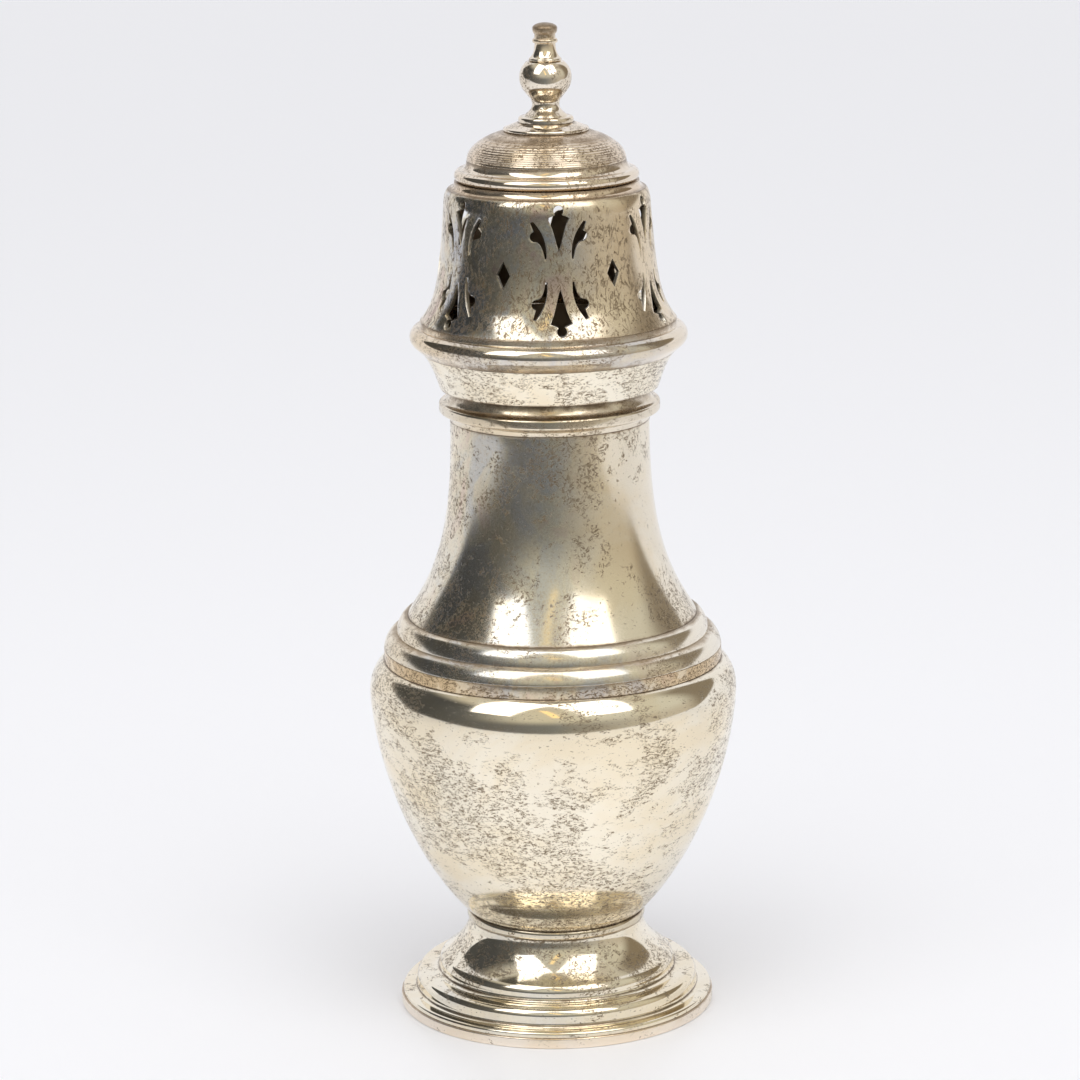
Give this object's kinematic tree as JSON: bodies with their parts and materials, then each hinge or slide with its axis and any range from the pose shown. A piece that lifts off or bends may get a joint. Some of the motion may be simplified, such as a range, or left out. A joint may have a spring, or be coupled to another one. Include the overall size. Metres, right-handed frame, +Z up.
{
  "type": "sugar caster",
  "caption": "Baluster sugar caster in tarnished silver: stepped foot, vase body with a moulded girdle, and a pierced lift-off cover with a turned finial.",
  "frame": {"origin": "centre of the face that the caster stands on", "axes": "+Z up along the turning axis, -Y towards the viewer of the picture, +X to that viewer's right"},
  "size_m": [0.0666, 0.0666, 0.18],
  "materials": {
    "silver": "polished silver with brown speckled tarnish",
    "dull_silver": "silver dulled by olive and brown tarnish",
    "bright_silver": "brightly rubbed silver mouldings"
  },
  "bodies": {
    "body": {"foot_wire": "bright_silver", "foot": "silver", "stem_bead": "bright_silver", "bowl": "silver", "girdle_band": "dull_silver", "lower_girdle_wire": "bright_silver", "upper_girdle_wire": "bright_silver", "neck": "silver", "mouth_ring": "bright_silver"},
    "sleeve": {"cover_sleeve": "dull_silver"},
    "cover": {"cover_skirt": "silver", "cover_rim": "bright_silver", "pierced_bell": "silver", "cap_ring": "bright_silver", "dome_ring": "bright_silver", "dome": "silver", "finial_plate": "bright_silver", "finial": "bright_silver"}
  },
  "joints": [
    {"name": "cover_lift", "type": "slide", "parent": "body", "child": "sleeve", "axis": [0, 0, 1], "range_m": [0, 0.04]},
    {"name": "cover_turn", "type": "hinge", "parent": "sleeve", "child": "cover", "pos_m": [0, 0, 0.1152], "axis": [0, 0, 1], "continuous": true}
  ]
}
